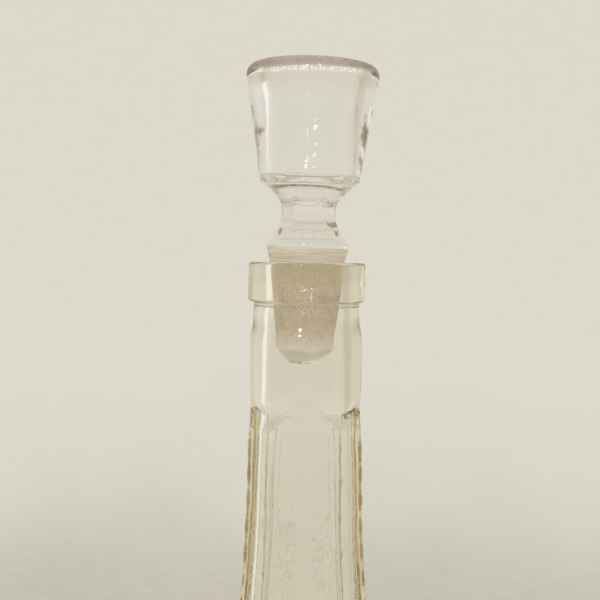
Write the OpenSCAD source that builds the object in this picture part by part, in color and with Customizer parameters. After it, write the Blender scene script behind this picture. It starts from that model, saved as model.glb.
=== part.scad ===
// Square glass bottle with a ground, hollow-headed glass stopper.
// The base stands on z = 0, the bottle's axis is Z, and two main faces look along X.

/* [Bottle] */
// Height from the table to the mouth
bottle_h = 265; // [235:1:300]
// Half the width across two opposite main faces near the base
side_half = 40; // [34:0.5:46]
// Height of the upright sides, up to where the shoulder starts
side_h = 112; // [95:1:125]
// Half the width across two opposite main faces at the ledge under the neck
flare_half = 15.2; // [14.8:0.1:17]
// Corner distance of a section over half its width, from an octagon to a square
corner_ratio = 1.1455; // [1.09:0.005:1.25]
// Radius of the rounded heel
heel_r = 3.5; // [2:0.5:6]
// Thickness of the body's wall
wall = 3.4; // [2.6:0.1:4]
// Thickness of the base over the push-up
base_t = 5; // [4:0.5:10]
// Extra thickness of the wall where it meets the base
base_gather = 0.6; // [0.3:0.1:2]
// Radius of the push-up under the base
pushup_r = 29; // [18:0.5:32]
// Height of the push-up under the base
pushup_h = 5; // [2:0.5:6]
// How long the flare stays slender below the ledge, as a share of its whole height
flare_pull = 1.13; // [0.9:0.01:1.18]
// Pull of the shoulder's curve above the upright sides
shoulder_pull = 20; // [12:1:40]

/* [Edge cords] */
// Half the width of the wavy cord along each edge
cord_half = 1.2; // [0.8:0.1:1.5]
// How far the cord stands out of its edge
cord_h = 0.75; // [0.4:0.05:1.2]
// Length of one wave of the cord
wave_pitch = 7.2; // [6:0.2:12]
// How far a wave lifts and lowers the cord's crest
wave_lift = 0.25; // [0:0.05:0.35]

/* [Neck and collar] */
// Distance from the mouth down to the ledge where the body starts
neck_h = 41.4; // [34:0.2:52]
// Outer radius of the neck at the ledge
neck_r = 15.5; // [14.6:0.1:16.5]
// How far the turned ledge drops on its way out to the body's edges
ledge_drop = 2.6; // [1:0.1:4]
// Outer radius of the neck's waist just under the collar
waist_r = 14.9; // [14.2:0.1:15.5]
// Inner radius of the neck
neck_bore_r = 11.2; // [10.9:0.1:12]
// Outer radius of the collar
collar_r = 16.3; // [15.8:0.1:19]
// Height of the collar
collar_h = 11; // [8:0.5:14]
// Radius of the collar's worn edges
collar_edge_r = 0.9; // [0.4:0.1:1.6]

/* [Ground seat] */
// Radius of the ground seat at the mouth
seat_r = 10.45; // [9.8:0.05:10.6]
// Narrowing of the seat and the plug, in mm of radius for each mm of depth
seat_taper = 0.095; // [0.06:0.005:0.12]
// Depth of the ground seat below the mouth
seat_depth = 12; // [8:0.5:16]
// Height over which the bore opens from the seat's foot to the neck's full bore
seat_opening = 7; // [3:0.5:12]
// Clearance between the plug and its seat
seat_gap = 0.04; // [0.02:0.01:0.1]
// Lean of the seat and the stopper away from the bottle's axis, in degrees
lean = 1.1; // [0:0.1:1.5]

/* [Stopper plug] */
// Length of the plug below the mouth
plug_depth = 28; // [20:0.5:32]
// Length of the broken-off chamfer at the plug's end
plug_end_h = 4.5; // [3:0.1:6]
// Radius of the plug's end below its chamfer
plug_end_r = 5.2; // [3:0.1:6]
// Height of the plug's ground shoulder above the mouth
ground_h = 4.2; // [3:0.1:6]
// Radius of the plug's ground shoulder
ground_r = 11.5; // [11:0.1:12.5]

/* [Stopper stem] */
// Radius of the stem's six flats, from axis to flat
stem_flat = 6.7; // [5.8:0.1:7.4]
// Radius of the stem where its flats meet
stem_r = 7.6; // [7.5:0.1:8.4]
// Height above the mouth where the shoulder meets the stem
stem_low = 11; // [9.5:0.1:12]
// Height above the mouth where the stem starts to widen under the head
stem_high = 16; // [14:0.1:18]

/* [Stopper head] */
// Height above the mouth of the head's underside
head_low = 21; // [19.5:0.1:24]
// Height of the head
head_h = 34.2; // [30:0.1:40]
// Outer radius of the head at its foot
head_low_r = 13.9; // [13.5:0.1:15]
// Outer radius of the head at its rim
head_rim_r = 18.6; // [16.5:0.1:20]
// Radius of the rounded rim
rim_r = 2.4; // [1.5:0.1:3]
// Radius of the air chamber's upright wall
chamber_r = 12.2; // [10:0.1:12.3]
// Thickness of the head's floor under the air chamber
floor_t = 1; // [0.8:0.1:3]
// Thickness of the head's top over the air chamber
top_t = 1.8; // [1.2:0.1:4]
// How far the air chamber widens under its ceiling
chamber_flare = 2; // [0:0.1:2.2]

/* [Hidden] */
glass_straw = "#d8cda6";
glass_lilac = "#dcd3d6";
round_fn = 96;
overlap = 1;
ledge_z = bottle_h - neck_h;

// Body section: eight sides, with wide main faces and narrow corner faces
face_share = corner_ratio * sqrt(2) - 1;
edge_share = norm([1, face_share]);
edge_turn = atan(face_share);

// The body's outline from its foot up to the ledge, as [half width, height]
heel_steps = 4;
flare_steps = 26;
flare_h = ledge_z - side_h;
heel_arc = [for (i = [0:heel_steps]) let (t = 90 * i / heel_steps)
    [side_half - heel_r + heel_r * sin(t), heel_r - heel_r * cos(t)]];
function blend(u) = u * u * (3 - 2 * u);
function flare_drop(u) = 3 * u * pow(1 - u, 2) * flare_pull * flare_h
    + 3 * pow(u, 2) * (1 - u) * (flare_h - shoulder_pull) + pow(u, 3) * flare_h;
flare_curve = [for (i = [0:flare_steps]) let (u = 1 - i / flare_steps)
    [flare_half + (side_half - flare_half) * blend(u), ledge_z - flare_drop(u)]];
outline = concat(heel_arc, flare_curve);

// The same outline measured by the length walked along it
last = len(outline) - 1;
function step_at(i) = i < last ? norm(outline[i + 1] - outline[i]) : 0;
walked = [for (i = 0, s = 0; i <= last; s = s + step_at(i), i = i + 1) s];
half_by_walk = [for (i = [0:last]) [walked[i], outline[i][0]]];
height_by_walk = [for (i = [0:last]) [walked[i], outline[i][1]]];
half_by_height = [for (p = outline) [p[1], p[0]]];

// A plate as wide as the body, cut to a half outline and its mirror image
module plate(half_outline, thick) {
    other_half = [for (i = [len(half_outline) - 1:-1:0]) [-half_outline[i][0], half_outline[i][1]]];
    rotate([90, 0, 0]) linear_extrude(thick, center = true) polygon(concat(half_outline, other_half));
}

// Eight-sided solid from one half outline: two square plates and two across the corners,
// which can stand a little higher so that their bends fall between the others
module eight_sided(half_outline, corner_lift = 0) {
    corner_outline = [for (p = half_outline) [corner_ratio * p[0], p[1] + corner_lift]];
    thick = 3 * side_half;
    intersection() {
        plate(half_outline, thick);
        rotate([0, 0, 90]) plate(half_outline, thick);
        rotate([0, 0, 45]) plate(corner_outline, thick);
        rotate([0, 0, -45]) plate(corner_outline, thick);
    }
}

// Scalloped cords along the eight edges, each pair cut from one thin plate through the axis
points_per_wave = 4;
wave_count = round(walked[last] / wave_pitch);
cord_end = 1;
function cord_point(i) = let (
        s = walked[last] * i / (points_per_wave * wave_count),
        lift = cord_h + wave_lift * sin(360 * i / points_per_wave)
    ) [edge_share * lookup(s, half_by_walk) + lift, lookup(s, height_by_walk)];
cord_outline = [for (i = [0:points_per_wave * wave_count - cord_end]) cord_point(i)];

module cords() for (turn = [edge_turn, 90 - edge_turn, 90 + edge_turn, 180 - edge_turn])
    rotate([0, 0, turn]) plate(cord_outline, 2 * cord_half);

// Inside of the body, a wall's thickness within the outline, on a flat floor
cavity_floor = pushup_h + base_t;
cavity_corner = 7;
throat_inset = 0.6;
cavity_top = neck_bore_r - throat_inset;
cavity_join = 8;
cavity_stagger = 0.7;
function cavity_half(z) = let (
        near = min(1, (ledge_z - z) / cavity_join),
        inner = lookup(z, half_by_height) - wall
    ) min(inner, cavity_top + (inner - cavity_top) * near);
cavity_foot = side_half - wall - base_gather;
cavity_outline = concat(
    [for (i = [0:heel_steps]) let (t = 90 * i / heel_steps)
        [cavity_foot - cavity_corner * (1 - sin(t)), cavity_floor + cavity_corner * (1 - cos(t))]],
    [for (p = flare_curve) if (p[1] < ledge_z - overlap) [cavity_half(p[1]), p[1]]],
    [[cavity_top, ledge_z]]);

// The ground seat leans with the stopper about the middle of the mouth
module on_seat() translate([0, 0, bottle_h]) rotate([0, lean, 0]) children();

module seat() on_seat() rotate_extrude($fn = round_fn) polygon([
    [0, overlap], [seat_r + seat_taper * overlap, overlap],
    [seat_r - seat_taper * seat_depth, -seat_depth], [0, -seat_depth]]);

// Corner of an outline turned with a radius, from one angle to another
function turned(centre, r, from, to, steps = 6) = [for (i = [0:steps])
    let (t = from + (to - from) * i / steps) centre + r * [cos(t), sin(t)]];

// The blank the body's top is cut from: a turned cone drops from the neck to the body's eight edges
// and leaves a scallop on every flat
module turned_blank() {
    wide = 2 * side_half;
    ledge_top = ledge_z - overlap / 4;
    drop_rate = ledge_drop / (edge_share * flare_half + cord_h - neck_r);
    rotate_extrude($fn = round_fn) polygon([
        [0, -overlap], [wide, -overlap], [wide, ledge_top - drop_rate * (wide - neck_r)],
        [neck_r - overlap, ledge_top + drop_rate * overlap], [0, ledge_top + drop_rate * overlap]]);
}

// The neck swells a little below its waist and carries the applied collar
module neck_outside() {
    collar_z = bottle_h - collar_h;
    edge = collar_r - collar_edge_r;
    foot_h = 7;
    foot_r = min(neck_r, flare_half) - overlap / 2;
    waist_reach = 10;
    waist_swell = (neck_r - waist_r) / 4;
    rotate_extrude($fn = round_fn) polygon(concat(
        [[0, ledge_z - foot_h], [foot_r, ledge_z - foot_h], [neck_r, ledge_z]],
        [[neck_r, collar_z - waist_reach], [waist_r + waist_swell, collar_z - waist_reach / 2]],
        [[waist_r, collar_z - waist_reach / 5], [waist_r, collar_z]],
        turned([edge, collar_z + collar_edge_r], collar_edge_r, -90, 0),
        turned([edge, bottle_h - collar_edge_r], collar_edge_r, 0, 90),
        [[0, bottle_h]]));
}

module bottle() color(glass_straw, 0.5) difference() {
    union() {
        intersection() {
            union() {
                eight_sided(outline);
                cords();
            }
            turned_blank();
        }
        neck_outside();
    }
    eight_sided(cavity_outline, corner_lift = cavity_stagger);
    neck_bore();
    seat();
    push_up();
}

// The bore under the seat, opening from the seat's foot to the neck's full bore. It starts wide enough
// for the leaning plug to pass
seat_clear = 0.25;
module neck_bore() {
    seat_foot = bottle_h - seat_depth;
    seat_low_r = seat_r - seat_taper * seat_depth;
    clear_r = seat_low_r + seat_depth * sin(lean) + seat_clear;
    half_open = [(neck_bore_r + clear_r) / 2, seat_foot - 0.45 * seat_opening];
    rotate_extrude($fn = round_fn) polygon([
        [0, ledge_z - overlap], [neck_bore_r, ledge_z - overlap],
        [neck_bore_r, seat_foot - seat_opening], half_open,
        [clear_r, seat_foot], [seat_low_r - overlap, seat_foot + 2 * overlap], [0, seat_foot + 2 * overlap]]);
}

// A shallow dome pressed up into the base
module push_up() {
    ball_r = (pow(pushup_r, 2) + pow(pushup_h, 2)) / (2 * pushup_h);
    half_angle = asin(pushup_r / ball_r);
    dome_steps = 5;
    rotate_extrude($fn = round_fn) polygon(concat(
        [[0, -overlap], [pushup_r, -overlap]],
        [for (i = [0:dome_steps]) let (t = half_angle * (1 - i / dome_steps))
            [ball_r * sin(t), pushup_h - ball_r * (1 - cos(t))]]));
}

// The plug's cone, its broken-off end, its ground shoulder and the hollow sweep up to the stem
sweep_bend = 1.35;
module plug() {
    plug_r = seat_r - seat_gap;
    end_z = -plug_depth;
    chamfer_z = end_z + plug_end_h;
    ground_edge = 0.3;
    ground_edge_h = 1.4;
    sweep_steps = 5;
    sweep_r = ground_r - ground_edge - stem_r;
    sweep_low = ground_h + ground_edge_h;
    rotate_extrude($fn = round_fn) polygon(concat(
        [[0, end_z], [plug_end_r, end_z], [plug_r + seat_taper * chamfer_z, chamfer_z], [plug_r, 0]],
        [[ground_r, ground_h]],
        [for (i = [0:sweep_steps]) let (u = i / sweep_steps)
            [stem_r + sweep_r * pow(1 - u, sweep_bend), sweep_low + (stem_low - sweep_low) * u]],
        [[stem_flat - overlap, stem_low + overlap], [0, stem_low + overlap]]));
}

// Six flats with their corners rounded off
module stem() intersection() {
    translate([0, 0, ground_h]) cylinder(h = head_low - ground_h, r = stem_flat / cos(30), $fn = 6);
    cylinder(h = head_low, r = stem_r, $fn = round_fn);
}

// The sweep from the stem out to the head's underside, a quarter of an ellipse
module under_head() {
    steps = 5;
    reach = head_low_r - head_foot_r - stem_flat;
    rotate_extrude($fn = round_fn) polygon(concat(
        [[0, stem_high]],
        [for (i = [0:steps]) let (t = 90 * i / steps)
            [stem_flat + reach * (1 - cos(t)), stem_high + (head_low - stem_high) * sin(t)]],
        [[head_low_r - head_foot_r, head_low + overlap], [0, head_low + overlap]]));
}

// Outer radius of the head at a height: a slight trumpet flare from foot to rim
head_foot_r = 1;
rim_z = head_low + head_h - rim_r;
flare_bend = 1.15;
function head_r(z) = head_low_r + (head_rim_r - head_low_r)
    * pow(max(0, z - head_low) / (rim_z - head_low), flare_bend);

module head() {
    foot_r = head_foot_r;
    steps = 8;
    rotate_extrude($fn = round_fn) polygon(concat(
        [[0, head_low]],
        turned([head_low_r - foot_r, head_low + foot_r], foot_r, -90, 0),
        [for (i = [1:steps]) let (z = head_low + foot_r + (rim_z - head_low - foot_r) * i / steps)
            [head_r(z), z]],
        turned([head_rim_r - rim_r, rim_z], rim_r, 10, 88),
        [[0, head_low + head_h]]));
}

// The sealed air chamber, rounded at its floor and a little wider under its ceiling
module chamber() {
    low = head_low + floor_t;
    high = head_low + head_h - top_t;
    floor_corner = 2.6;
    ceiling_corner = 1.5;
    flare_h = 5;
    rotate_extrude($fn = round_fn) polygon(concat(
        [[0, low]],
        turned([chamber_r - floor_corner, low + floor_corner], floor_corner, -90, 0),
        [[chamber_r, high - flare_h], [chamber_r + chamber_flare / 4, high - flare_h / 2]],
        turned([chamber_r + chamber_flare - ceiling_corner, high - ceiling_corner], ceiling_corner, 0, 90),
        [[0, high]]));
}

module stopper() color(glass_lilac, 0.6) on_seat() difference() {
    union() {
        plug();
        stem();
        under_head();
        head();
    }
    chamber();
}

bottle();
stopper();
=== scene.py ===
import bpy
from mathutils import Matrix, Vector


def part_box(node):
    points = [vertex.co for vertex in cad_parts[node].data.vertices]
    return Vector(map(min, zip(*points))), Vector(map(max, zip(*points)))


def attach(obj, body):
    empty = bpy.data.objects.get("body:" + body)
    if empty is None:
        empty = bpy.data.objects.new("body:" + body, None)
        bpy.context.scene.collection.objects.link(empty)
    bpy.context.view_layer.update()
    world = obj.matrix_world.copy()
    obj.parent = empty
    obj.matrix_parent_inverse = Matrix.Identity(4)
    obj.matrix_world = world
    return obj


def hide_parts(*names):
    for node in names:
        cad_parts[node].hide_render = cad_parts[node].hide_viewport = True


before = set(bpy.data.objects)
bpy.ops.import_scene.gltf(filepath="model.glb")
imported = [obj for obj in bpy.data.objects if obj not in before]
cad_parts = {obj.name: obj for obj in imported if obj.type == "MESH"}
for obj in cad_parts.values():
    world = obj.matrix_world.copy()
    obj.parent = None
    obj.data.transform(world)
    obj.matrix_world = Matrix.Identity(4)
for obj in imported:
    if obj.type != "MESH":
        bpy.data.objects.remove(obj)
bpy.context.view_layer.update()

import math

import bpy
from mathutils import Vector, noise

# ---------------------------------------------------------------------------------------------------------
# Studio. The bottle stands on a pale round table in a plain pale room. A tall window in the room, far to the
# left, draws the long streaks on the glass. Ten narrow panes of light draw its bright points, and one broad
# panel lights it from above and behind.
# ---------------------------------------------------------------------------------------------------------
mm = 0.001
scene = bpy.context.scene
scene.view_settings.view_transform = "Standard"
glass_bounces, mirror_bounces, matt_bounces = 40, 24, 16
scene.cycles.max_bounces = glass_bounces
scene.cycles.transmission_bounces = glass_bounces
scene.cycles.glossy_bounces = mirror_bounces
scene.cycles.diffuse_bounces = matt_bounces
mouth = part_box("bottle")[1].z

camera_distance = 294 * mm
camera_above_mouth = 2 * mm
camera_left = 2.0 * mm
focal_length = 63
sensor = 36
look_down = math.radians(2.45)
camera_roll = math.radians(-0.75)
camera = bpy.data.objects.new("camera", bpy.data.cameras.new("camera"))
camera.data.sensor_width = sensor
camera.data.lens = focal_length
camera.data.clip_start = 5 * mm
camera.location = (-camera_left, -camera_distance, mouth + camera_above_mouth)
camera.rotation_euler = (math.pi / 2 - look_down, camera_roll, 0)
scene.collection.objects.link(camera)
scene.camera = camera


def shade(red, green, blue):
    """A colour as it is seen on screen, 0 to 255, in the linear form that shaders take."""
    return tuple(((v / 255 + 0.055) / 1.055) ** 2.4 for v in (red, green, blue)) + (1,)


class Wire:
    """A socket in a node tree. Arithmetic on wires adds Math nodes; make adds any other node."""

    def __init__(self, tree, socket=None):
        self.tree, self.socket = tree, socket

    def make(self, kind, settings=None, inputs=None, output=0):
        node = self.tree.nodes.new(kind)
        for name, value in (settings or {}).items():
            if name == "stops":
                while len(node.color_ramp.elements) > 1:
                    node.color_ramp.elements.remove(node.color_ramp.elements[-1])
                for number, (place, colour) in enumerate(value):
                    stop = node.color_ramp.elements[0] if number == 0 else node.color_ramp.elements.new(place)
                    stop.position, stop.color = place, colour
            else:
                setattr(node, name, value)
        for name, value in (inputs or {}).items():
            if isinstance(value, Wire):
                self.tree.links.new(value.socket, node.inputs[name])
            else:
                node.inputs[name].default_value = value
        return Wire(self.tree, node.outputs[output]) if len(node.outputs) else None

    def maths(self, operation, *others, swapped=False):
        values = [*others, self] if swapped else [self, *others]
        return self.make("ShaderNodeMath", {"operation": operation}, dict(enumerate(values)))

    def __add__(self, other):
        return self.maths("ADD", other)

    def __sub__(self, other):
        return self.maths("SUBTRACT", other)

    def __mul__(self, other):
        return self.maths("MULTIPLY", other)

    def __rsub__(self, other):
        return self.maths("SUBTRACT", other, swapped=True)

    __radd__ = __add__
    __rmul__ = __mul__

    def between(self, low, high):
        """0 at low, 1 at high and a soft step between them."""
        return self.make("ShaderNodeMapRange", {"interpolation_type": "SMOOTHSTEP"},
                         {"Value": self, "From Min": low, "From Max": high})

    def mix(self, first, second):
        """The first colour where this wire is 0 and the second where it is 1."""
        return self.make("ShaderNodeMix", {"data_type": "RGBA"}, {0: self, 6: first, 7: second}, 2)

    def cover(self, under, over):
        """The shader under where this wire is 0 and the shader over where it is 1."""
        return self.make("ShaderNodeMixShader", inputs={0: self, 1: under, 2: over})

    def part(self, axis):
        """The X, Y or Z of this place."""
        return self.make("ShaderNodeSeparateXYZ", inputs={"Vector": self}, output=axis)

    def grain(self, scale, detail):
        """Soft noise over this place, from 0 to 1."""
        return self.make("ShaderNodeTexNoise", inputs={"Vector": self, "Scale": scale, "Detail": detail})


room = bpy.data.worlds.new("room")
scene.world = room
room.use_nodes = True
room.node_tree.nodes.clear()
sky = Wire(room.node_tree)
towards = sky.make("ShaderNodeTexCoord", output="Generated")
height = towards.part("Z")
sideways = towards.part("X")
onward = towards.part("Y")
level = height * 0.5 + 0.5

# what the camera sees past the glass: plain plaster under worn limewash, darker low down
cloud = towards.grain(5.0, 2.0)
weave_way = sky.make("ShaderNodeMapping", inputs={"Vector": towards, "Scale": (60.0, 60.0, 260.0)})
weave = weave_way.grain(1.0, 4.0)
limewash = sky.make("ShaderNodeValToRGB", {"stops": [
    (0.30, shade(184, 179, 161)), (0.35, shade(198, 193, 177)), (0.381, shade(213, 209, 195)),
    (0.40, shade(219, 215, 202)), (0.44, shade(223, 219, 206)), (0.62, shade(222, 218, 204))]},
    {"Fac": level + (cloud - 0.5) * 0.07})
wall_seen = (weave.between(0.2, 0.8) * 0.3).mix(limewash, shade(213, 209, 194))

# what the glass bends into view: the pale wall behind, a window far to the left, a dim room elsewhere
behind = sky.make("ShaderNodeValToRGB", {"stops": [
    (0.0, shade(176, 162, 136)), (0.19, shade(180, 166, 140)), (0.25, shade(200, 190, 166)),
    (0.335, shade(207, 201, 184)), (0.39, shade(214, 209, 194)), (0.55, shade(223, 219, 206)),
    (0.75, shade(216, 211, 199)), (0.85, shade(194, 186, 174)), (1.0, shade(176, 166, 153))]}, {"Fac": level})
in_front = sky.make("ShaderNodeValToRGB", {"stops": [
    (0.0, shade(176, 162, 136)), (0.30, shade(184, 172, 146)), (0.45, shade(198, 190, 168)),
    (0.60, shade(210, 205, 190)), (0.75, shade(204, 198, 185)), (0.9, shade(182, 173, 160))]}, {"Fac": level})
dim_side = sideways.between(0.45, 0.8) * 0.36
window = ((sideways + 0.86).maths("ABSOLUTE").between(0.13, 0.06)
          * height.between(-0.45, -0.3) * height.between(0.5, 0.35) * onward.between(-0.3, 0.0))
bent = onward.between(-0.25, 0.15).mix(in_front, behind)
through = window.mix(dim_side.mix(bent, shade(168, 158, 126)), shade(250, 249, 242))
fill = shade(250, 248, 243)
seen_by_camera = sky.make("ShaderNodeLightPath", output="Is Camera Ray")
lights_matt = sky.make("ShaderNodeLightPath", output="Diffuse Depth").between(0.2, 0.8)
room_light = lights_matt.mix(seen_by_camera.mix(through, wall_seen), fill)
sky.make("ShaderNodeOutputWorld", inputs={
    "Surface": sky.make("ShaderNodeBackground", inputs={"Color": room_light, "Strength": 1.0})})

table_radius = 420 * mm
table_mesh = bpy.data.meshes.new("table")
table_points = 96
table_turns = [2 * math.pi * n / table_points for n in range(table_points)]
table_edge = [(table_radius * math.cos(turn), table_radius * math.sin(turn), 0) for turn in table_turns]
table_mesh.from_pydata(table_edge, [], [tuple(range(table_points))])
table = bpy.data.objects.new("table", table_mesh)
scene.collection.objects.link(table)
linen = bpy.data.materials.new("pale_table")
linen.use_nodes = True
linen.node_tree.nodes.clear()
cloth = Wire(linen.node_tree)
cloth_spots = cloth.make("ShaderNodeTexCoord", output="Object").grain(30.0, 4.0)
cloth_matt = cloth.make("ShaderNodeBsdfPrincipled", inputs={
    "Base Color": cloth_spots.between(0.3, 0.7).mix(shade(214, 208, 194), shade(222, 218, 206)),
    "Roughness": 0.8})
cloth_lit = cloth.make("ShaderNodeEmission", inputs={"Color": shade(224, 218, 202), "Strength": 1.0})
past_glass = cloth.make("ShaderNodeLightPath", output="Is Transmission Ray") * 0.85
cloth.make("ShaderNodeOutputMaterial", inputs={"Surface": past_glass.cover(cloth_matt, cloth_lit)})
table_mesh.materials.append(linen)


def lamp(name, place, aim, width, tall, power):
    light = bpy.data.lights.new(name, "AREA")
    light.shape, light.size, light.size_y, light.energy = "RECTANGLE", width, tall, power
    holder = bpy.data.objects.new(name, light)
    holder.location = place
    holder.rotation_euler = (Vector(aim) - Vector(place)).to_track_quat("-Z", "Y").to_euler()
    scene.collection.objects.link(holder)


head_middle = (0, 0, mouth + 30 * mm)
lamp_distance = 500 * mm
pane_turn = math.radians(-12)
pane_strength = 0.00017
# the panes' middles above the mouth, their heights and widths in mm, and the side that they stand on
panes = [(82, 5, 40, 1), (93, 6, 50, 1), (160, 3, 50, 1), (165, 4, 120, 1), (173, 4, 120, 1),
         (178, 3, 50, -1), (190, 5, 50, -1), (206, 6, 50, -1), (224, 6, 50, -1), (248, 6, 50, -1)]
for number, (pane_height, pane_tall, pane_wide, side) in enumerate(panes):
    pane_place = (side * lamp_distance * math.sin(pane_turn), -lamp_distance * math.cos(pane_turn),
                  mouth + pane_height * mm)
    pane_power = pane_strength * pane_tall * pane_wide
    lamp(f"window_pane_{number}", pane_place, head_middle, pane_wide * mm, pane_tall * mm, pane_power)
panel_place, panel_side, panel_power = (-0.05, 0.45, 1.65), 1.0, 2.5
lamp("overhead_panel", panel_place, head_middle, panel_side, panel_side, panel_power)

# ---------------------------------------------------------------------------------------------------------
# Bottle. One piece of straw-coloured moulded glass: the square body with its corner bevels, the wavy cords
# down its eight edges, the faint ornament on its main faces, the ledge, and the smooth tooled neck and
# collar, with a ground seat inside the mouth for the stopper.
# ---------------------------------------------------------------------------------------------------------
side_half, side_h, flare_half, heel_r = 40 * mm, 112 * mm, 15.2 * mm, 3.5 * mm
corner_ratio = 1.1455
face_share = corner_ratio * math.sqrt(2) - 1
bevel_share = (1 - face_share) / math.sqrt(2)
neck_h = 42.6 * mm
ledge_z = mouth - neck_h
flare_h = ledge_z - side_h
flare_pull, shoulder_pull = 125 * mm, 20 * mm
heel_steps, flare_steps = 10, 120

# The body's eight edges carry cords and are numbered round from the right. Four make the outline to either
# side, two face the front, and the four of the back half are softened.
outline_edges, front_edges, back_edges = (0, 3, 4, 7), (5, 6), (0, 1, 2, 3)
cord_h, wave_pitch, knot_pitch = 0.75 * mm, 7.2 * mm, 9.3 * mm
left_line_in, crease_half, faint_crease = 0.9 * mm, 0.21 * mm, 0.3
line_sway, line_shiver, line_kink, knot_spread = 0.62 * mm, 0.10 * mm, 0.35 * mm, 0.006
bell_half, step_half, tail_from, tail_length = 0.85 * mm, 0.16 * mm, 0.3 * mm, 2.4 * mm
back_sink, back_sink_half = 0.42 * mm, 2.0 * mm
start_fade, ledge_fade = 6 * mm, 9 * mm


def clamp(value):
    return min(1.0, max(0.0, value))


def ease(value):
    value = clamp(value)
    return value * value * (3 - 2 * value)


def wobble(x, y, z=0.0):
    """Smooth noise from -1 to 1, the same on every run."""
    return noise.noise(Vector((x, y, z)))


def along(points, place):
    """Where a list of (key, value, value ...) rows is at a key, by straight stretches between its rows."""
    for before, after in zip(points, points[1:]):
        if place <= after[0]:
            share = (place - before[0]) / max(after[0] - before[0], 1e-12)
            return [a + (b - a) * share for a, b in zip(before[1:], after[1:])]
    return list(points[-1][1:])


def arc(centre_r, centre_z, radius, start, end, steps):
    """Points (radius, height) round a quarter or so of a circle, by angles in degrees."""
    turns = [math.radians(start + (end - start) * n / steps) for n in range(steps + 1)]
    return [(centre_r + radius * math.cos(t), centre_z + radius * math.sin(t)) for t in turns]


def curve(rows, place):
    """Like along, but rounded: a smooth curve through rows of (key, value)."""
    last = len(rows) - 1
    n = next((i for i in range(last) if place <= rows[i + 1][0]), last - 1)
    (x0, y0), (x1, y1) = rows[n], rows[n + 1]
    before, after = rows[max(n - 1, 0)], rows[min(n + 2, last)]
    t = clamp((place - x0) / (x1 - x0))
    m0 = (y1 - before[1]) / (x1 - before[0]) * (x1 - x0)
    m1 = (after[1] - y0) / (after[0] - x0) * (x1 - x0)
    return ((2 * t ** 3 - 3 * t * t + 1) * y0 + (t ** 3 - 2 * t * t + t) * m0
            + (3 * t * t - 2 * t ** 3) * y1 + (t ** 3 - t * t) * m1)


outline = [(side_half - heel_r * (1 - math.sin(t)), heel_r * (1 - math.cos(t)))
           for t in [math.pi / 2 * n / heel_steps for n in range(heel_steps + 1)]]
for n in range(flare_steps + 1):
    u = 1 - n / flare_steps
    drop = (3 * u * (1 - u) ** 2 * flare_pull + 3 * u * u * (1 - u) * (flare_h - shoulder_pull)
            + u ** 3 * flare_h)
    outline.append((flare_half + (side_half - flare_half) * u * u * (3 - 2 * u), ledge_z - drop))
walk = [0.0]
for before, after in zip(outline, outline[1:]):
    walk.append(walk[-1] + math.dist(before, after))
body_length = walk[-1]
stations = [(s, half, z) for s, (half, z) in zip(walk, outline)]

near_edge = [0.20 * mm, 0.45 * mm, 0.70 * mm, 0.95 * mm, 1.20 * mm, 1.50 * mm, 2.0 * mm]
main_middle, bevel_middle = 22, 4


def section(half):
    """Points round the body: place, way out, edge number, distance past the edge, and place on a face."""
    points = []
    for quarter in range(4):
        for bevel in (False, True):
            turn = math.radians(90 * quarter + (45 if bevel else 0))
            out = Vector((math.cos(turn), math.sin(turn)))
            side = Vector((-math.sin(turn), math.cos(turn)))
            reach = half * (bevel_share if bevel else face_share)
            depth = half * (corner_ratio if bevel else 1)
            middle = bevel_middle if bevel else main_middle
            inner = reach - near_edge[-1]
            offsets = [-reach] + [-reach + d for d in near_edge]
            offsets += [-inner + 2 * inner * (n + 1) / (middle + 1) for n in range(middle)]
            offsets += [reach - d for d in reversed(near_edge)]
            edge = 2 * quarter + (1 if bevel else 0)
            for offset in offsets:
                first = offset < 0
                points.append((out * depth + side * offset, out,
                               (edge - 1) % 8 if first else edge,
                               offset + reach if first else offset - reach,
                               None if bevel else (quarter, offset, reach)))
    return points


def cord(edge, past, s):
    """How far a cord stands out and how strong the painted shade along its crease line is, past its edge and
    at a length along the body.
    """
    inward = past if edge % 2 == 0 else -past
    beads = s / wave_pitch + 0.31 * edge
    knots = s / knot_pitch + 0.4 * edge + 0.2 * wobble(edge, s / (30 * mm))
    knot = math.exp(-(knots % 1.0 - 0.5) ** 2 / knot_spread)
    line = ((left_line_in if edge == front_edges[0] else 0.0)
            + line_sway * wobble(s / (10 * mm), 3.7 * edge, 1.5)
            + line_shiver * wobble(s / (1.7 * mm), 3.7 * edge, 4.5)
            + line_kink * knot * wobble(s / (1.2 * mm), 1.7 * edge, 8.5))
    lump = 0.5 + 0.5 * math.sin(2 * math.pi * beads)
    if edge in outline_edges:
        bell = math.exp(-((inward - 0.4 * line) / bell_half) ** 2)
        swell = 0.30 + 0.30 * lump + 0.22 * wobble(s / (5 * mm), edge, 6.2)
        return cord_h * clamp(s / start_fade) * clamp((body_length - s) / ledge_fade) * bell * swell, 0.0
    crest = cord_h * (0.30 + 0.40 * knot + 0.10 * wobble(s / (3 * mm), edge, 2.2))
    step = ease((inward - line + step_half) / (2 * step_half))
    tail = ease(1 - (inward - line - tail_from) / tail_length)
    fade = clamp(s / start_fade) * clamp(0.2 + (body_length - s) / (12 * mm))
    # crease: the strength of a painted shade, a dark line drawn along the cord's crease
    crease = math.exp(-((inward - line) / crease_half) ** 2) * (0.7 + 0.3 * knot)
    crease *= 1.0 if edge in front_edges else faint_crease
    return fade * crest * step * tail, fade * crease


block_h, block_rise, grain_rise, ridge_rise = 10.2 * mm, 0.30 * mm, 0.42 * mm, 0.07 * mm
strip_half, strip_spread, ornament_margin, plain_top = 2.0 * mm, 0.034, 2.4 * mm, 12 * mm


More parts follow.
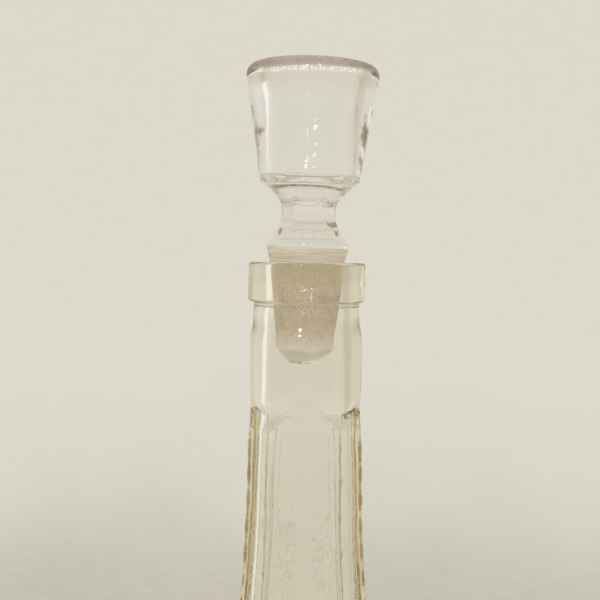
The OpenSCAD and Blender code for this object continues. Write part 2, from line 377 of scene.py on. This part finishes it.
def ornament(quarter, offset, reach, s):
    """Faint raised blocks in two columns beside a plain strip up the middle of each main face."""
    down = body_length - s
    strip = strip_half + down * strip_spread
    inside = abs(offset) - strip
    room_left = reach - abs(offset) - ornament_margin
    ridge = ridge_rise * math.exp(-(inside / (0.5 * mm)) ** 2) * ease((down - plain_top) / (20 * mm))
    if inside < 0 or room_left < 0:
        return ridge
    row = s / block_h + (0.5 if offset > 0 else 0)
    column = inside / (reach - strip - ornament_margin)
    edge_soft = ease(inside / (0.8 * mm)) * ease(room_left / (0.8 * mm))
    columns = 2 * math.pi * column * round(reach / (7 * mm))
    blocks = ease(abs(math.sin(math.pi * row)) * 3 - 0.4) * (0.6 + 0.4 * math.cos(columns))
    grain = wobble(offset / (1.2 * mm), s / (1.5 * mm), 9.0 + quarter)
    strength = 0.15 + 0.85 * ease((down - plain_top) / (30 * mm))
    return ridge + strength * edge_soft * (block_rise * blocks + grain_rise * grain)


neck_foot_r, meeting_h = 15.45 * mm, 14 * mm
neck_foot_z, cone_slope = mouth - 41.0 * mm, 0.55
meeting_soft, turned_soft = 0.10 * mm, 0.09 * mm
sag, sag_span, sag_pitch = 0.10 * mm, 14 * mm, 18 * mm


def soft_max(first, second, softness):
    """The larger of two lengths, with a rounded change from one to the other."""
    return max(first, second) + softness * math.log1p(math.exp(-abs(first - second) / softness))


def body_ring(s, lift=0.0):
    """The body's section at a length along it, with its cords and ornament: x, y, z, relief, and crease, the
    strength of the painted crease shade.
    """
    half, z = along(stations, s)
    ahead, behind = along(stations, min(s + 0.5 * mm, body_length)), along(stations, max(s - 0.5 * mm, 0))
    slope = math.atan2(behind[0] - ahead[0], max(ahead[1] - behind[1], 1e-9))
    ring = []
    for place, out, edge, past, face in section(half):
        relief = ornament(*face, s) if face else 0.0
        rise, crease = cord(edge, past, s)
        rise += relief
        if edge in back_edges:
            near = max(0.0, 1 - abs(past) / back_sink_half)
            rise -= back_sink * near ** 2 * clamp((body_length - s) / ledge_fade)
        rise += sag * wobble(place.x / sag_span, place.y / sag_span, z / sag_pitch)
        corner_turn = math.radians(90 * ((edge + 1) // 2)) + (-1 if edge % 2 else 1) * math.atan(face_share)
        corner_out = Vector((math.cos(corner_turn), math.sin(corner_turn)))
        blend = ease(1 - abs(past) / (1.6 * mm))
        way = (out * (1 - blend) + corner_out * blend).normalized()
        flat = place + way * rise * math.cos(slope)
        if z > ledge_z - meeting_h:
            round_r = neck_foot_r - 0.9 * mm * ease((ledge_z - z) / meeting_h)
            flat *= soft_max(flat.length, round_r, meeting_soft) / flat.length
            turned_r = neck_foot_r + max(0.0, neck_foot_z - z - lift) * cone_slope
            flat *= -soft_max(-flat.length, -turned_r, turned_soft) / flat.length
        ring.append((flat.x, flat.y, lift + max(0.0, z + rise * math.sin(slope) * clamp(z / heel_r)),
                     relief, crease))
    return ring


def round_ring(like, radius, z, seed=0.0):
    """A round ring whose points lie in the same directions as another ring's."""
    ring = []
    for x, y, *_ in like:
        turn = math.atan2(y, x)
        r = radius + 0.05 * mm * wobble(2 * math.cos(turn), 2 * math.sin(turn), z / (9 * mm) + seed)
        ring.append((r * math.cos(turn), r * math.sin(turn), z))
    return ring


def even_ring(count, half, z, power=2.0, seed=0.0, uneven=0.0):
    """A ring of evenly turned points, round at power 2 and squarer above it."""
    ring = []
    for n in range(count):
        turn = 2 * math.pi * n / count
        c, s = math.cos(turn), math.sin(turn)
        r = half / (abs(c) ** power + abs(s) ** power) ** (1 / power)
        r += uneven * wobble(1.6 * c, 1.6 * s, z / (16 * mm) + seed)
        ring.append((r * c, r * s, z))
    return ring


class Skin:
    """Rings of points joined into one closed surface, with a material number for each band."""

    def __init__(self):
        self.points, self.faces, self.kinds, self.last = [], [], [], None

    def add(self, ring, kind=0):
        start = len(self.points)
        self.points += ring
        count = len(ring)
        if self.last:
            old, old_count = self.last
            if old_count == count:
                for n in range(count):
                    m = (n + 1) % count
                    self.faces.append((old + n, old + m, start + m, start + n))
                    self.kinds.append(kind)
            else:
                self.zip_rings(old, old_count, start, count, kind)
        self.last = (start, count)

    def zip_rings(self, old, old_count, new, count, kind):
        """Joins rings of unlike counts by walking round both in step with their directions."""
        def turn(index):
            x, y = self.points[index][:2]
            return math.atan2(y, x) % (2 * math.pi)
        olds = sorted(range(old, old + old_count), key=turn)
        news = sorted(range(new, new + count), key=turn)
        i = j = 0
        while i < old_count or j < count:
            next_old = turn(olds[(i + 1) % old_count]) + (2 * math.pi if i + 1 >= old_count else 0)
            next_new = turn(news[(j + 1) % count]) + (2 * math.pi if j + 1 >= count else 0)
            if j >= count or (i < old_count and next_old <= next_new):
                self.faces.append((olds[i % old_count], olds[(i + 1) % old_count], news[j % count]))
                i += 1
            else:
                self.faces.append((olds[i % old_count], news[(j + 1) % count], news[j % count]))
                j += 1
            self.kinds.append(kind)

    def cap(self, z, kind=0, x=0.0):
        """Closes the last ring with a fan to its centre."""
        old, count = self.last
        self.points.append((x, 0, z))
        centre = len(self.points) - 1
        for n in range(count):
            self.faces.append((old + n, old + (n + 1) % count, centre))
            self.kinds.append(kind)
        self.last = None

    def start(self, z, ring, kind=0, x=0.0):
        """Opens a surface with a fan from a centre point."""
        self.points.append((x, 0, z))
        centre = len(self.points) - 1
        start = len(self.points)
        self.points += ring
        for n in range(len(ring)):
            self.faces.append((start + (n + 1) % len(ring), start + n, centre))
            self.kinds.append(kind)
        self.last = (start, len(ring))


# underside: the push-up, then the flat resting ring and the heel
bottle_skin = Skin()
pushup_r, pushup_h = 29 * mm, 5 * mm
inner_count, pushup_rings, pushup_start = 96, 14, 2 * mm
bottle_skin.start(pushup_h, even_ring(inner_count, pushup_start, pushup_h))
for n in range(1, pushup_rings + 1):
    share = n / pushup_rings
    radius = pushup_start + (pushup_r - pushup_start) * share
    bottle_skin.add(even_ring(inner_count, radius, pushup_h * (1 - share ** 2.2)))
bottle_skin.add(even_ring(inner_count, pushup_r + 1.5 * mm, 0.0, 2.4))
bottle_skin.add(body_ring(0.0))

# body from the heel to the ledge
ring_step = 0.8 * mm
cone_h = 6.4 * mm
ring_count = int((body_length - cone_h) / ring_step)
for n in range(1, ring_count + 1):
    bottle_skin.add(body_ring((body_length - cone_h) * n / ring_count))

# ledge: a turned cone cuts the corners down to the neck and leaves a scallop on every flat
cone_rings, upright_rings, upright_step = 19, 8, 0.25 * mm
for n in range(1, cone_rings + 1):
    bottle_skin.add(body_ring(body_length - cone_h * (1 - n / cone_rings)))
for n in range(1, upright_rings + 1):
    bottle_skin.add(body_ring(body_length, upright_step * n))
top_ring = body_ring(body_length, 2 * mm)

# neck and collar, the neck's profile in mm below the mouth
neck_profile = [(-40.2, 15.46), (-38, 15.5), (-33.5, 15.66), (-28, 15.7), (-23, 15.66), (-20.2, 15.48),
                (-18, 15.12), (-15.5, 14.84), (-13, 14.80), (-11.6, 14.84), (-11.05, 14.9)]
collar_r, collar_edge = 16.3 * mm, 0.9 * mm
collar_h = 11 * mm
neck_rings, edge_rings = 40, 6
for n in range(neck_rings + 1):
    z = neck_profile[0][0] + (neck_profile[-1][0] - neck_profile[0][0]) * n / neck_rings
    bottle_skin.add(round_ring(top_ring, curve(neck_profile, z) * mm, mouth + z * mm))
for n in range(edge_rings + 1):
    turn = math.radians(-90 + 90 * n / edge_rings)
    bottle_skin.add(round_ring(top_ring, collar_r - collar_edge * (1 - math.cos(turn)),
                               mouth - collar_h + collar_edge * (1 + math.sin(turn))))
for n in range(1, 5):
    bottle_skin.add(round_ring(top_ring, collar_r + 0.03 * mm * math.sin(n),
                               mouth - collar_h + (1.2 + 1.9 * n) * mm))
for n in range(edge_rings + 1):
    turn = math.radians(90 * n / edge_rings)
    bottle_skin.add(round_ring(top_ring, collar_r - collar_edge * (1 - math.cos(turn)),
                               mouth - collar_edge * (1 - math.sin(turn))))

# mouth, ground seat, bore and cavity
GROUND = 1
seat_r, seat_taper, seat_depth = 10.45 * mm, 0.095, 6 * mm
lean = math.radians(1.1)
wall, inside_wave = 3.4 * mm, 3.0
cavity_floor, cavity_corner = 10 * mm, 9 * mm
square_from, square_over, squarest = 37.5 * mm, 13.5 * mm, 2.6


def leaning(ring):
    """A ring round the leaning axis of the seat and the stopper, which crosses the bottle's at the mouth."""
    return [(x * math.cos(lean) + (z - mouth) * math.sin(lean), y,
             mouth + (z - mouth) * math.cos(lean) - x * math.sin(lean)) for x, y, z in ring]


def squareness(z):
    """The power of the inside's section: round in the neck, squarish in the body."""
    return 2 + squarest * ease((mouth - square_from - z) / square_over)


heights = [(point[1], point[0]) for point in outline]
bottle_skin.add(even_ring(inner_count, seat_r + 0.5 * mm, mouth))
bottle_skin.add(leaning(even_ring(inner_count, seat_r + 0.02 * mm, mouth - 0.4 * mm)))
seat_rings = 9
for n in range(1, seat_rings + 1):
    depth = seat_depth * n / seat_rings
    bottle_skin.add(leaning(even_ring(inner_count, seat_r - seat_taper * depth, mouth - depth)), GROUND)
# the bore's radius against its depth, both in mm
neck_inside = [(6.0, 9.9), (7.5, 10.05), (10, 10.4), (13, 10.75), (17, 11.0), (24, 11.12), (40, 11.25),
               (45, 11.4)]
bore_from, bore_deep, bore_rings = 6.0, 38.0, 48
for n in range(1, bore_rings + 1):
    deep = bore_from + bore_deep * n / bore_rings
    bottle_skin.add(even_ring(inner_count, curve(neck_inside, deep) * mm, mouth - deep * mm,
                              squareness(mouth - deep * mm), inside_wave, 0.08 * mm))
cavity_top, cavity_top_r = mouth - 44 * mm, 11.4 * mm
cavity_rings, closer_from, closer_share = 102, 0.85, 0.15
for n in range(1, cavity_rings + 1):
    share = n / cavity_rings
    if share >= closer_from:
        share = closer_from + closer_share * math.sin((share - closer_from) / closer_share * math.pi / 2)
    z = cavity_top + (cavity_floor - cavity_top) * share
    up = z - cavity_floor
    body = along(heights, z)[0] - wall
    join = ease((cavity_top - z) / (16 * mm))
    half = cavity_top_r * (1 - join) + body * join
    sunk = max(0.0, cavity_corner - up)
    half -= cavity_corner - math.sqrt(max(0.0, cavity_corner ** 2 - sunk ** 2))
    bottle_skin.add(even_ring(inner_count, half, z, squareness(z), inside_wave, 0.22 * mm))
floor_half = along(heights, cavity_floor)[0] - wall - cavity_corner
floor_rings = 6
for n in range(1, floor_rings):
    half = floor_half * (1 - n / floor_rings)
    bottle_skin.add(even_ring(inner_count, half, cavity_floor + 0.5 * mm * math.sin(n), 3.5 - 0.25 * n))
bottle_skin.cap(cavity_floor + 0.6 * mm)

bottle_mesh = bpy.data.meshes.new("bottle_glass")
bottle_mesh.from_pydata([point[:3] for point in bottle_skin.points], [], bottle_skin.faces)
for column, layer_name in ((3, "relief"), (4, "crease")):
    layer = bottle_mesh.attributes.new(layer_name, "FLOAT", "POINT")
    amounts = [point[column] if len(point) > 3 else 0.0 for point in bottle_skin.points]
    layer.data.foreach_set("value", amounts)
bottle_mesh.polygons.foreach_set("use_smooth", [True] * len(bottle_skin.faces))
bottle_mesh.polygons.foreach_set("material_index", bottle_skin.kinds)
bottle_glass = bpy.data.objects.new("bottle_glass", bottle_mesh)
scene.collection.objects.link(bottle_glass)

glass_index = 1.52


def glass_material(name, tint, density):
    """Clear glass with its tint in its depth, and a wire to hang its stains and its painted light and shade
    on.
    """
    material = bpy.data.materials.new(name)
    material.use_nodes = True
    material.node_tree.nodes.clear()
    wire = Wire(material.node_tree)
    place = wire.make("ShaderNodeTexCoord", output="Object")
    ripple = place.grain(160.0, 2.0)
    rippled = ripple * place.part("Z").between(mouth + 52.6 * mm, mouth + 51.6 * mm)
    bump = wire.make("ShaderNodeBump", inputs={"Height": rippled, "Strength": 0.05, "Distance": 0.001})
    clear = wire.make("ShaderNodeBsdfPrincipled", inputs={
        "Base Color": (1, 1, 1, 1), "Roughness": 0.0, "IOR": glass_index, "Transmission Weight": 1.0,
        "Normal": bump})
    depth = wire.make("ShaderNodeVolumeAbsorption", inputs={"Color": tint, "Density": density})
    return material, wire, place, clear, depth


straw = shade(232, 221, 178)
straw_depth = 26.0
straw_material, wire, place, clear, depth = glass_material("straw_glass", straw, straw_depth)
up_body = place.part("Z")
across = place.part("X")
front = place.part("Y").between(2 * mm, -1 * mm)
band = (up_body.between(neck_foot_z - 1.5 * mm, neck_foot_z - 0.8 * mm)
        * up_body.between(neck_foot_z + 0.4 * mm, neck_foot_z - 0.1 * mm) * front)
crumbs = place.grain(1100.0, 3.0)
corners = across.between(9.5 * mm, 10.5 * mm).maths("MAXIMUM", across.between(-14.0 * mm, -14.6 * mm))
dirt_mask = band * corners * crumbs.between(0.50, 0.55)
dirt = wire.make("ShaderNodeBsdfPrincipled", inputs={
    "Base Color": crumbs.between(0.5, 0.65).mix(shade(112, 84, 52), shade(166, 130, 84)), "Roughness": 0.9})
raised = wire.make("ShaderNodeAttribute", {"attribute_name": "relief"}, output="Fac")
crease_shade = wire.make("ShaderNodeAttribute", {"attribute_name": "crease"}, output="Fac")
mottle = place.grain(520.0, 3.0)
low_down = up_body.between(mouth - 62 * mm, mouth - 84 * mm)
# painted shade: a dark brown line along each cord's crease, strongest on the two front edges; the same shader
# also gives a pale haze on the relief low down
painted_crease_shade_mask = crease_shade * (mottle.between(0.30, 0.60) * 0.3 + 0.7) * 0.78
on_rises = raised.between(0.02 * mm, 0.20 * mm) * mottle.between(0.40, 0.64) * 0.22
in_hollows = raised.between(-0.02 * mm, -0.16 * mm) * mottle.between(0.46, 0.66) * 0.12
haze_and_crease_shade_mask = painted_crease_shade_mask + low_down * (on_rises + in_hollows)
haze_and_crease_shade = wire.make("ShaderNodeBsdfPrincipled", inputs={
    "Base Color": crease_shade.between(0.0, 0.3).mix(shade(224, 212, 180), shade(158, 136, 94)), "Roughness": 0.6})
surface = dirt_mask.cover(haze_and_crease_shade_mask.cover(clear, haze_and_crease_shade), dirt)
wire.make("ShaderNodeOutputMaterial", inputs={"Surface": surface, "Volume": depth})
bottle_mesh.materials.append(straw_material)

seat_material, wire, place, clear, depth = glass_material("ground_seat", straw, straw_depth)
frost = wire.make("ShaderNodeBsdfPrincipled", inputs={
    "Base Color": (1, 1, 1, 1), "Roughness": 0.07, "IOR": glass_index, "Transmission Weight": 1.0})
wire.make("ShaderNodeOutputMaterial", inputs={"Surface": frost, "Volume": depth})
bottle_mesh.materials.append(seat_material)

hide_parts("bottle")
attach(bottle_glass, "bottle")

# ---------------------------------------------------------------------------------------------------------
# Stopper. One piece of clear glass: the closed, hollow tumbler-shaped head, the six-sided stem, the shoulder,
# and the plug, ground to a matt cone to fit the bottle's mouth and left broken off at its end.
# ---------------------------------------------------------------------------------------------------------
seat_gap = 0.12 * mm
plug_r = seat_r - seat_gap
stem_flat, stem_round = 6.7 * mm, 7.6 * mm
head_low = 21 * mm
round_count = 144
plug_end, chip_foot = -28.0 * mm, -24.4 * mm
# the shoulder, the stem and the swell under the head: height above the mouth and radius, mm
shoulder = [(4.05, 11.45), (4.9, 11.42), (5.6, 11.2), (6.4, 10.65), (7.3, 10.02), (8.2, 9.4), (9.0, 8.88),
            (9.8, 8.42), (10.6, 8.02), (11.4, 7.78), (12.6, 7.62), (14.0, 7.56), (15.4, 7.64), (16.3, 7.86),
            (17.2, 8.3), (18.2, 9.1), (19.1, 9.98), (19.9, 10.7), (20.5, 11.4), (20.85, 12.1)]


def stopper_ring(radius, z, faceted=0.0, uneven=0.02 * mm, seed=0.0):
    """A leaning ring at a height above the mouth, round at faceted 0 and six-sided at 1."""
    ring = []
    for n in range(round_count):
        turn = 2 * math.pi * n / round_count
        face_turn = (turn % (math.pi / 3)) - math.pi / 6
        flat = min(stem_flat / math.cos(face_turn), stem_round) / stem_round
        r = radius * (1 - faceted * (1 - flat))
        r += uneven * wobble(2.2 * math.cos(turn), 2.2 * math.sin(turn), z / (5 * mm) + seed)
        ring.append((r * math.cos(turn), r * math.sin(turn), mouth + z))
    return leaning(ring)


# the broken end: chips struck off by flat blows, each with a direction, a distance and a downward tilt
chips = [(15, 7.6, 50), (62, 7.9, 40), (110, 7.4, 55), (150, 7.9, 35), (197, 7.7, 48), (243, 7.35, 60),
         (283, 7.9, 42), (322, 6.9, 58), (352, 7.5, 34), (338, 7.6, 20),
         (90, 8.1, 18), (215, 8.15, 22), (305, 8.0, 15)]


def chipped(ring):
    """Pulls the points of a plug ring in to the flats of the chips."""
    pulled = []
    for x, y, z in ring:
        turn, reach = math.atan2(y, x), math.hypot(x, y)
        kept = reach
        for way, distance, tilt in chips:
            facing = math.cos(turn - math.radians(way))
            if facing > 0.3:
                flat = distance * mm + (z - (mouth + chip_foot)) * math.tan(math.radians(tilt))
                kept = min(kept, max(0.8 * mm, flat / facing))
        kept += 0.12 * mm * wobble(x / (1.1 * mm), y / (1.1 * mm), z / (1.3 * mm)) if kept < reach else 0
        pulled.append((x * kept / reach, y * kept / reach, z))
    return pulled


stopper_skin = Skin()
end_middle = [(x, y, z + 0.25 * mm * wobble(x / (2 * mm), y / (2 * mm), 4.4))
              for x, y, z in even_ring(round_count, 1.6 * mm, mouth + plug_end + 0.35 * mm)]
stopper_skin.start(mouth + plug_end + 0.5 * mm, leaning(end_middle), GROUND)
for radius, z in ((3.0, -27.75), (4.4, -27.85)):
    stopper_skin.add([(x, y, up + 0.3 * mm * wobble(x / (2 * mm), y / (2 * mm), 4.4))
                      for x, y, up in stopper_ring(radius * mm, z * mm)], GROUND)
chipped_from, chipped_h, chipped_rings = -27.8, 7.8, 21
for n in range(chipped_rings + 1):
    z = (chipped_from + chipped_h * n / chipped_rings) * mm
    stopper_skin.add(chipped(stopper_ring(plug_r + seat_taper * z, z)), GROUND)
plug_rings = 25
for n in range(1, plug_rings + 1):
    z = -20.0 * mm * (1 - n / plug_rings)
    uneven = 0.0 if z > -seat_depth else 0.05 * mm
    stopper_skin.add(stopper_ring(plug_r + seat_taper * z, z, 0.0, uneven, 5.0), GROUND)
for radius, z in ((10.65, 1.0), (10.95, 2.2), (11.25, 3.3), shoulder[0][::-1]):
    stopper_skin.add(stopper_ring(radius * mm, z * mm), GROUND)
stem_rings, facets_low, facets_top = 65, 5.2, 19.6
for n in range(1, stem_rings + 1):
    z = shoulder[0][0] + (shoulder[-1][0] - shoulder[0][0]) * n / stem_rings
    faceted = ease((z - facets_low) / 4) * ease((facets_top - z) / 3.6)
    stopper_skin.add(stopper_ring(curve(shoulder, z) * mm, z * mm, faceted, 0.03 * mm))

# the head: its rounded lower edge, its side, its thick rim and its slightly domed top
foot_r, foot_edge, rim_out, rim_r, head_top = 11.8 * mm, 2.2 * mm, 18.5 * mm, 3.0 * mm, 54.5 * mm
head_side = [(23.3, 14.05), (25, 14.4), (29, 14.95), (34, 15.65), (39, 16.42), (44, 17.2), (47.5, 17.85),
             (50.6, 18.38)]
side_top, side_rings, top_rings, top_dome = 50.3, 40, 20, 0.1 * mm
for radius, z in arc(foot_r, head_low + 2.1 * mm, foot_edge, -80, -5, 11):
    stopper_skin.add(stopper_ring(radius, z, 0.0, 0.08 * mm))
for n in range(side_rings + 1):
    z = head_side[0][0] + (side_top - head_side[0][0]) * n / side_rings
    stopper_skin.add(stopper_ring(curve(head_side, z) * mm, z * mm, 0.0, 0.05 * mm))
for radius, z in arc(rim_out - rim_r, head_top - rim_r, rim_r, -10, 85, 18):
    stopper_skin.add(stopper_ring(radius, z, 0.0, 0.06 * mm))
for n in range(1, top_rings):
    share = 1 - n / top_rings
    radius = (rim_out - rim_r) * share + 0.3 * mm
    stopper_skin.add(stopper_ring(radius, head_top + top_dome * (1 - share ** 2), 0.0, 0.0))
stopper_skin.cap(mouth + head_top + top_dome, x=(head_top + top_dome) * math.sin(lean))

# the air chamber, wound the other way so that the glass is outside it
chamber_low, ceiling = 21.9 * mm, 53.4 * mm
back_wave, front_wave, flute = 0.10 * mm, 0.012 * mm, 0.02 * mm
chamber_side = [(24.5, 12.02), (27, 12.10), (30, 12.16), (38, 12.28), (43, 12.42), (46, 12.66), (48.5, 13.12),
                (51, 14.2)]
chamber_skin = Skin()
chamber_skin.start(mouth + chamber_low, stopper_ring(3 * mm, chamber_low), x=chamber_low * math.sin(lean))
for radius, z in ((6, 21.92), (8, 22.0), (9.4, 22.2), (10.5, 22.55), (11.3, 23.2), (11.7, 23.8)):
    chamber_skin.add(stopper_ring(radius * mm, z * mm, 0.0, 0.08 * mm))
for n in range(side_rings + 1):
    z = chamber_side[0][0] + (chamber_side[-1][0] - chamber_side[0][0]) * n / side_rings
    ring = stopper_ring(curve(chamber_side, z) * mm, z * mm, 0.0, 0.05 * mm)
    chamber_skin.add([(x, y + back_wave * ease(y / (6 * mm)) * wobble(x / (4 * mm), z / 4, 6.6)
                       + front_wave * ease(-y / (6 * mm)) * wobble(x / (5 * mm), z / 1.3, 2.6)
                       + flute * wobble(x / (1.6 * mm), z / 70, 5.5 + 2 * (y > 0)), up)
                      for x, y, up in ring])
for radius, z in arc(13.0 * mm, 51.9 * mm, 1.5 * mm, -10, 87.4, 9):
    chamber_skin.add(stopper_ring(radius, z, 0.0, 0.08 * mm))
ceiling_dome, ceiling_rings = 0.3 * mm, 26
for n in range(ceiling_rings - 1, 0, -1):
    z = ceiling + ceiling_dome * (1 - (n / ceiling_rings) ** 2)
    chamber_skin.add(stopper_ring(n / 2 * mm, z, 0.0, 0.0))
chamber_skin.cap(mouth + ceiling + ceiling_dome, x=ceiling * math.sin(lean))
shift = len(stopper_skin.points)
stopper_points = stopper_skin.points + chamber_skin.points
stopper_faces = stopper_skin.faces + [tuple(shift + n for n in reversed(face)) for face in chamber_skin.faces]
stopper_kinds = stopper_skin.kinds + chamber_skin.kinds

stopper_mesh = bpy.data.meshes.new("stopper_glass")
stopper_mesh.from_pydata(stopper_points, [], stopper_faces)
stopper_mesh.polygons.foreach_set("use_smooth", [True] * len(stopper_faces))
stopper_mesh.polygons.foreach_set("material_index", stopper_kinds)
stopper_glass = bpy.data.objects.new("stopper_glass", stopper_mesh)
scene.collection.objects.link(stopper_glass)

lilac = shade(226, 220, 208)
lilac_depth = 6.0
lilac_material, wire, place, clear, depth = glass_material("clear_glass", lilac, lilac_depth)
up_head = place.part("Z")
front = place.part("Y")
from_axis = wire.make("ShaderNodeVectorMath", {"operation": "LENGTH"}, {
    0: wire.make("ShaderNodeVectorMath", {"operation": "MULTIPLY"}, {0: place, 1: (1, 1, 0)})}, "Value")
outer_side = 1 - wire.make("ShaderNodeNewGeometry", output="Backfacing")
scuffs = place.grain(700.0, 4.0)
flecks = place.grain(1500.0, 3.0)


def blot(x, y, z, wide, tall, specks=0.5):
    """A speckled mark round a place in mm from the mouth; it draws stains and painted shade alike."""
    away = wire.make("ShaderNodeVectorMath", {"operation": "LENGTH"}, {
        0: wire.make("ShaderNodeVectorMath", {"operation": "MULTIPLY"}, {
            0: wire.make("ShaderNodeVectorMath", {"operation": "SUBTRACT"}, {
                0: place, 1: (x * mm, y * mm, mouth + z * mm)}),
            1: (1 / (wide * mm), 1 / (3 * wide * mm), 1 / (tall * mm))})}, "Value")
    return (away + (scuffs - 0.5) * 1.6).between(1.0, 0.55) * flecks.between(specks, specks - 0.14)


# painted shade: the dark grey-brown band that the rounded rim shows along the top of the head, darker towards
# its two ends
rim_ends = place.part("X").maths("ABSOLUTE").between(6 * mm, 16 * mm)
painted_rim_shade_band = (up_head.between(mouth + 50.9 * mm, mouth + 52.3 * mm) * from_axis.between(15.2 * mm, 16.4 * mm)
            * (scuffs.between(0.3, 0.62) * 0.14 + rim_ends * 0.26 + 0.58) * outer_side)
# painted highlight: a pale speckled band just under the rim, on the front only
painted_rim_highlight = (up_head.between(mouth + 49.9 * mm, mouth + 50.5 * mm)
            * up_head.between(mouth + 51.7 * mm, mouth + 51.1 * mm)
            * from_axis.between(16 * mm, 17 * mm) * front.between(-11.5 * mm, -15 * mm) * outer_side
            * flecks.between(0.72, 0.34) * 0.7)
hair_line = (up_head.between(mouth + 6.1 * mm, mouth + 6.25 * mm)
             * up_head.between(mouth + 6.55 * mm, mouth + 6.4 * mm)
             * front.between(-7.0 * mm, -8.5 * mm) * 0.2)
# painted shade: a tan band on the front of the air chamber's floor, inside the closed head
chamber_floor_shade = (up_head.between(mouth + 21.6 * mm, mouth + 21.8 * mm)
             * up_head.between(mouth + 22.6 * mm, mouth + 22.3 * mm)
             * from_axis.between(7.2 * mm, 7.8 * mm) * from_axis.between(9.6 * mm, 9.2 * mm)
             * front.between(-1 * mm, -4 * mm) * (scuffs.between(0.62, 0.40) * 0.3 + 0.5))
# stains on the head and the upper stem; the three marks low on the stem, at 8.6 to 10.4 mm, are painted shade
# where the stem's facets end
stains_and_stem_shade = (blot(-13.6, -8, 35.5, 1.9, 1.5, 0.62) + blot(-14.2, -6, 30.5, 0.8, 3.6, 0.56)
          + blot(14.9, -6, 36.6, 1.0, 6.4, 0.75)
          + blot(14.4, -6, 34.3, 1.1, 1.8, 0.75) + blot(14.0, -6, 28.0, 0.5, 1.2, 0.7)
          + blot(12.7, -11.4, 43, 0.3, 5.0, 0.95) * 0.5 + blot(6.6, -4, 15.8, 0.5, 0.6, 0.7)
          + blot(5.4, -5, 16.9, 0.35, 0.9, 0.7) + blot(-7.6, -4, 9.2, 0.9, 3.0, 0.8)
          + blot(7.0, -4, 10.4, 2.2, 0.9, 0.8)
          + blot(8.2, -4, 8.6, 0.9, 1.9, 0.7)).maths("MINIMUM", 1.0) * 0.7
# the dirt colour for the stains and for the painted shade on the stem
dirt = wire.make("ShaderNodeBsdfPrincipled", inputs={
    "Base Color": flecks.between(0.35, 0.6).mix(shade(104, 82, 54), shade(162, 134, 96)), "Roughness": 0.9})
painted_rim_shade = wire.make("ShaderNodeBsdfPrincipled", inputs={
    "Base Color": scuffs.between(0.3, 0.65).mix(shade(132, 117, 101), shade(160, 146, 129)),
    "Roughness": 0.6})
rim_highlight_paint = wire.make("ShaderNodeBsdfPrincipled", inputs={
    "Base Color": shade(252, 250, 244), "Roughness": 0.4})
dulled = wire.make("ShaderNodeBsdfPrincipled", inputs={
    "Base Color": (1, 1, 1, 1), "Roughness": 0.16, "IOR": glass_index, "Transmission Weight": 1.0})
under_top = up_head.between(mouth + 52.9 * mm, mouth + 53.3 * mm) * from_axis.between(15.0 * mm, 13.6 * mm)
tan = wire.make("ShaderNodeBsdfPrincipled", inputs={
    "Base Color": scuffs.between(0.3, 0.65).mix(shade(112, 90, 64), shade(176, 150, 112)), "Roughness": 0.8})
surface = painted_rim_shade_band.cover(under_top.cover(clear, dulled), painted_rim_shade)
surface = painted_rim_highlight.cover(surface, rim_highlight_paint)
# the tan shader draws the painted shade on the chamber floor and the thin tan line round the shoulder
surface = chamber_floor_shade.maths("MAXIMUM", hair_line).cover(surface, tan)
surface = (stains_and_stem_shade * outer_side).cover(surface, dirt)
wire.make("ShaderNodeOutputMaterial", inputs={"Surface": surface, "Volume": depth})
stopper_mesh.materials.append(lilac_material)

ground_material, wire, place, clear, depth = glass_material("ground_glass", lilac, lilac_depth)
speckle = place.grain(3300.0, 1.0)
patches = place.grain(420.0, 2.0)
grit = wire.make("ShaderNodeBump", inputs={"Height": speckle, "Strength": 0.4, "Distance": 0.0002})
up_plug = place.part("Z")
speckled = up_plug.between(mouth - 26 * mm, mouth - 17 * mm)
in_seat = up_plug.between(mouth + 0.2 * mm, mouth - 1.2 * mm)
matt_tone = speckled.mix(shade(252, 245, 234), in_seat.mix(shade(238, 230, 212), shade(226, 209, 180)))
spots = (speckle + (patches - 0.5) * 0.35).between(0.54, 0.36) * (speckled * in_seat * 0.62 + 0.08)
turned_way = wire.make("ShaderNodeVectorMath", {"operation": "MULTIPLY"}, {0: place, 1: (3, 3, 60)})
turning = (turned_way.grain(40.0, 3.0).between(0.66, 0.34) * 0.5 + 0.25) * (1 - in_seat)
turned_tone = turning.mix(matt_tone, shade(196, 178, 142))
ground_tone = spots.mix(turned_tone, shade(166, 128, 88))
chalk = wire.make("ShaderNodeBsdfPrincipled", inputs={
    "Base Color": ground_tone, "Roughness": 0.85, "Normal": grit})
frost = wire.make("ShaderNodeBsdfPrincipled", inputs={
    "Base Color": (1, 1, 1, 1), "Roughness": 0.35, "IOR": glass_index, "Transmission Weight": 1.0,
    "Normal": grit})
# painted light: the ground surface glows pale where it is seen from inside the glass, and tan in the seat, as
# if lit through the collar
painted_glow_inside = wire.make("ShaderNodeEmission", inputs={"Color": shade(216, 211, 196), "Strength": 1.0})
painted_seat_glow = wire.make("ShaderNodeEmission", inputs={"Color": shade(208, 192, 158), "Strength": 1.0})
from_inside = wire.make("ShaderNodeNewGeometry", output="Backfacing")
touching = ((up_plug.between(mouth - 6.3 * mm, mouth - 5.7 * mm) * 0.4 + 0.1)
            * up_plug.between(mouth + 0.1 * mm, mouth - 0.1 * mm))
frost_share = 0.15
ground = wire.make("ShaderNodeMixShader", inputs={0: frost_share, 1: chalk, 2: frost})
surface = from_inside.cover(touching.cover(ground, painted_seat_glow), painted_glow_inside)
wire.make("ShaderNodeOutputMaterial", inputs={"Surface": surface, "Volume": depth})
stopper_mesh.materials.append(ground_material)

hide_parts("stopper")
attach(stopper_glass, "stopper")
